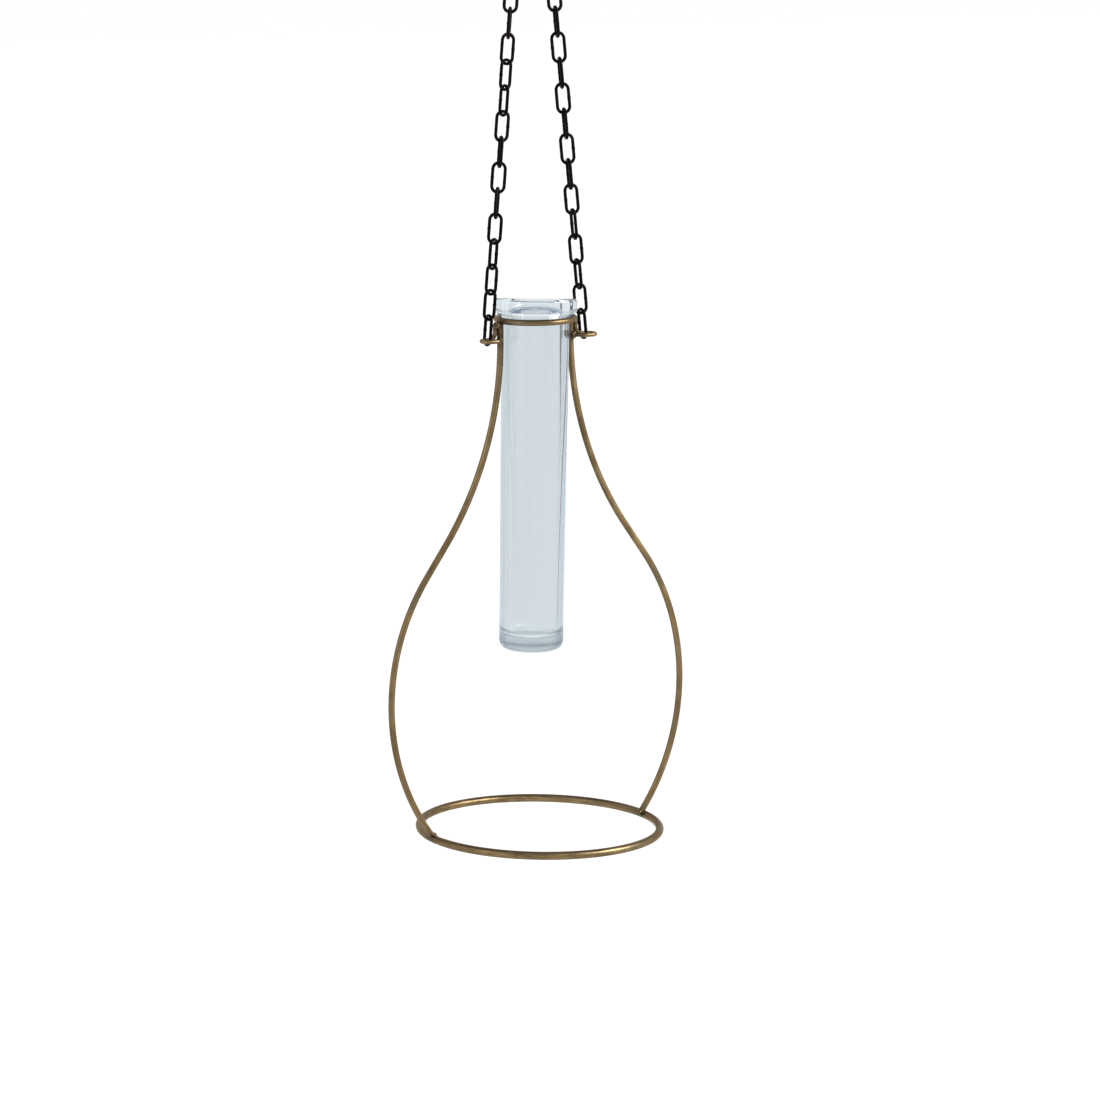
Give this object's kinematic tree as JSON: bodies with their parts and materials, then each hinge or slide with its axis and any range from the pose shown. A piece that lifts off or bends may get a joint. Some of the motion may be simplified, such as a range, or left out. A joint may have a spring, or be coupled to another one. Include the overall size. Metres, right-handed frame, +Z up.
{
  "type": "hanging wall vase",
  "caption": "Hanging wall vase: thick glass tube with a rolled lip in a bulging brass wire frame with a base ring, hung from a blackened chain of oval links on a wall hook.",
  "frame": {"origin": "where the wall hook bears, at the middle of the underside of the top link's upper bar", "axes": "+Z up, +X from the left eye to the right eye as seen from the room, +Y towards the wall"},
  "size_m": [0.1434, 0.1072, 0.4424],
  "materials": {
    "aged_brass": "satin, aged",
    "braze": "rough, as cooled",
    "black_iron": "blackened, satin",
    "clear_glass": "clear, polished"
  },
  "bodies": {
    "hanger": {"top_link": "black_iron"},
    "row_01": {"left_link_01": "black_iron", "right_link_01": "black_iron"},
    "row_02": {"left_link_02": "black_iron", "right_link_02": "black_iron"},
    "row_03": {"left_link_03": "black_iron", "right_link_03": "black_iron"},
    "row_04": {"left_link_04": "black_iron", "right_link_04": "black_iron"},
    "row_05": {"left_link_05": "black_iron", "right_link_05": "black_iron"},
    "row_06": {"left_link_06": "black_iron", "right_link_06": "black_iron"},
    "row_07": {"left_link_07": "black_iron", "right_link_07": "black_iron"},
    "row_08": {"left_link_08": "black_iron", "right_link_08": "black_iron"},
    "row_09": {"left_link_09": "black_iron", "right_link_09": "black_iron"},
    "row_10": {"left_link_10": "black_iron", "right_link_10": "black_iron"},
    "row_11": {"left_link_11": "black_iron", "right_link_11": "black_iron"},
    "row_12": {"left_link_12": "black_iron", "right_link_12": "black_iron"},
    "row_13": {"left_link_13": "black_iron", "right_link_13": "black_iron"},
    "row_14": {"left_link_14": "black_iron", "right_link_14": "black_iron"},
    "row_15": {"left_link_15": "black_iron", "right_link_15": "black_iron"},
    "row_16": {"left_link_16": "black_iron", "right_link_16": "black_iron"},
    "row_17": {"left_link_17": "black_iron", "right_link_17": "black_iron"},
    "row_18": {"left_link_18": "black_iron", "right_link_18": "black_iron"},
    "row_19": {"left_link_19": "black_iron", "right_link_19": "black_iron"},
    "row_20": {"left_link_20": "black_iron", "right_link_20": "black_iron"},
    "row_21": {"left_link_21": "black_iron", "right_link_21": "black_iron"},
    "frame": {"collar_ring": "aged_brass", "left_side_wire": "aged_brass", "right_side_wire": "aged_brass", "base_ring": "aged_brass", "left_eye": "aged_brass", "right_eye": "aged_brass", "braze_beads": "braze"},
    "tube": {"glass_tube": "clear_glass"}
  },
  "joints": [
    {"name": "row_swing_01", "type": "hinge", "parent": "hanger", "child": "row_01", "pos_m": [0, 0, -0.0045], "axis": [-1, 0, 0], "range_deg": [-60, 60]},
    {"name": "row_swing_02", "type": "hinge", "parent": "row_01", "child": "row_02", "pos_m": [0, 0, -0.01345], "axis": [1, 0, 0], "range_deg": [-60, 60]},
    {"name": "row_swing_03", "type": "hinge", "parent": "row_02", "child": "row_03", "pos_m": [0, 0, -0.02569], "axis": [-1, 0, 0], "range_deg": [-60, 60]},
    {"name": "row_swing_04", "type": "hinge", "parent": "row_03", "child": "row_04", "pos_m": [0, 0, -0.03464], "axis": [1, 0, 0], "range_deg": [-60, 60]},
    {"name": "row_swing_05", "type": "hinge", "parent": "row_04", "child": "row_05", "pos_m": [0, 0, -0.04688], "axis": [-1, 0, 0], "range_deg": [-60, 60]},
    {"name": "row_swing_06", "type": "hinge", "parent": "row_05", "child": "row_06", "pos_m": [0, 0, -0.05666], "axis": [1, 0, 0], "range_deg": [-22, 22]},
    {"name": "row_swing_07", "type": "hinge", "parent": "row_06", "child": "row_07", "pos_m": [0, 0, -0.06726], "axis": [-1, 0, 0], "range_deg": [-22, 22]},
    {"name": "row_swing_08", "type": "hinge", "parent": "row_07", "child": "row_08", "pos_m": [0, 0, -0.07785], "axis": [1, 0, 0], "range_deg": [-22, 22]},
    {"name": "row_swing_09", "type": "hinge", "parent": "row_08", "child": "row_09", "pos_m": [0, 0, -0.08845], "axis": [-1, 0, 0], "range_deg": [-22, 22]},
    {"name": "row_swing_10", "type": "hinge", "parent": "row_09", "child": "row_10", "pos_m": [0, 0, -0.09905], "axis": [1, 0, 0], "range_deg": [-15, 15]},
    {"name": "row_swing_11", "type": "hinge", "parent": "row_10", "child": "row_11", "pos_m": [0, 0, -0.10964], "axis": [-1, 0, 0], "range_deg": [-22, 22]},
    {"name": "row_swing_12", "type": "hinge", "parent": "row_11", "child": "row_12", "pos_m": [0, 0, -0.12024], "axis": [1, 0, 0], "range_deg": [-22, 22]},
    {"name": "row_swing_13", "type": "hinge", "parent": "row_12", "child": "row_13", "pos_m": [0, 0, -0.13084], "axis": [-1, 0, 0], "range_deg": [-22, 22]},
    {"name": "row_swing_14", "type": "hinge", "parent": "row_13", "child": "row_14", "pos_m": [0, 0, -0.14143], "axis": [1, 0, 0], "range_deg": [-22, 22]},
    {"name": "row_swing_15", "type": "hinge", "parent": "row_14", "child": "row_15", "pos_m": [0, 0, -0.15203], "axis": [-1, 0, 0], "range_deg": [-22, 22]},
    {"name": "row_swing_16", "type": "hinge", "parent": "row_15", "child": "row_16", "pos_m": [0, 0, -0.16263], "axis": [1, 0, 0], "range_deg": [-22, 22]},
    {"name": "row_swing_17", "type": "hinge", "parent": "row_16", "child": "row_17", "pos_m": [0, 0, -0.17322], "axis": [-1, 0, 0], "range_deg": [-22, 22]},
    {"name": "row_swing_18", "type": "hinge", "parent": "row_17", "child": "row_18", "pos_m": [0, 0, -0.18382], "axis": [1, 0, 0], "range_deg": [-22, 22]},
    {"name": "row_swing_19", "type": "hinge", "parent": "row_18", "child": "row_19", "pos_m": [0, 0, -0.19442], "axis": [-1, 0, 0], "range_deg": [-22, 22]},
    {"name": "row_swing_20", "type": "hinge", "parent": "row_19", "child": "row_20", "pos_m": [0, 0, -0.20419], "axis": [1, 0, 0], "range_deg": [-60, 60]},
    {"name": "row_swing_21", "type": "hinge", "parent": "row_20", "child": "row_21", "pos_m": [0, 0, -0.21643], "axis": [-1, 0, 0], "range_deg": [-60, 60]},
    {"name": "frame_tilt", "type": "hinge", "parent": "row_21", "child": "frame", "pos_m": [0, 0, -0.22514], "axis": [1, 0, 0], "range_deg": [-38, 60]},
    {"name": "tube_lift", "type": "slide", "parent": "frame", "child": "tube", "axis": [0.0244, 0, 0.9997], "range_m": [0, 0.0135]}
  ]
}
